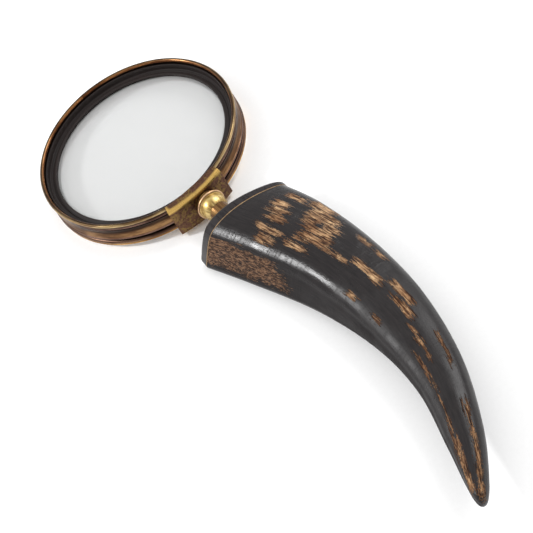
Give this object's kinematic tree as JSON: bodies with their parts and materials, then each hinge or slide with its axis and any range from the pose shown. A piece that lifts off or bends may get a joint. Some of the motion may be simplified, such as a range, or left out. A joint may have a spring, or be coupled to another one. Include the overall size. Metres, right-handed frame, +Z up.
{
  "type": "magnifying glass",
  "caption": "Hand magnifier with a clear round lens in an aged brass frame and a curved dark horn handle that turns on a ball collar.",
  "frame": {"origin": "on the table, under the middle of the object's box", "axes": "+X from the lens towards the handle's tip, +Z up, +Y across the handle towards its outward-curving side"},
  "size_m": [0.3102, 0.1016, 0.023],
  "materials": {
    "lens_glass": "clear polished optical glass",
    "black_lacquer": "satin black lacquer on brass",
    "packing_paper": "matt fibre packing",
    "copper_brass": "aged reddish brass, rubbed bright on the bead",
    "aged_brass": "brown mottled patina",
    "bright_brass": "polished",
    "steel": "plain turned steel",
    "black_horn": "polished black horn with tan worn patches",
    "pale_horn": "pale horn, satin",
    "turned_wood": "plain turned hardwood"
  },
  "bodies": {
    "lens_frame": {"lens": "lens_glass", "lens_retainer": "black_lacquer", "lens_seat": "black_lacquer", "lens_gasket": "packing_paper", "front_bezel": "copper_brass", "frame_band": "aged_brass", "back_bezel": "copper_brass", "saddle_bracket": "aged_brass"},
    "handle": {"swivel_stud": "steel", "thrust_washer": "aged_brass", "spring_washer": "steel", "ball_collar": "bright_brass", "neck_ferrule": "aged_brass", "end_plate": "black_horn", "end_liner": "pale_horn", "horn": "black_horn", "core_plug": "turned_wood", "threaded_insert": "aged_brass"}
  },
  "joints": [
    {"name": "handle_swivel", "type": "hinge", "parent": "lens_frame", "child": "handle", "pos_m": [-0.04425, 0, 0.01078], "axis": [0.9996, 0, 0.0297], "continuous": true}
  ]
}
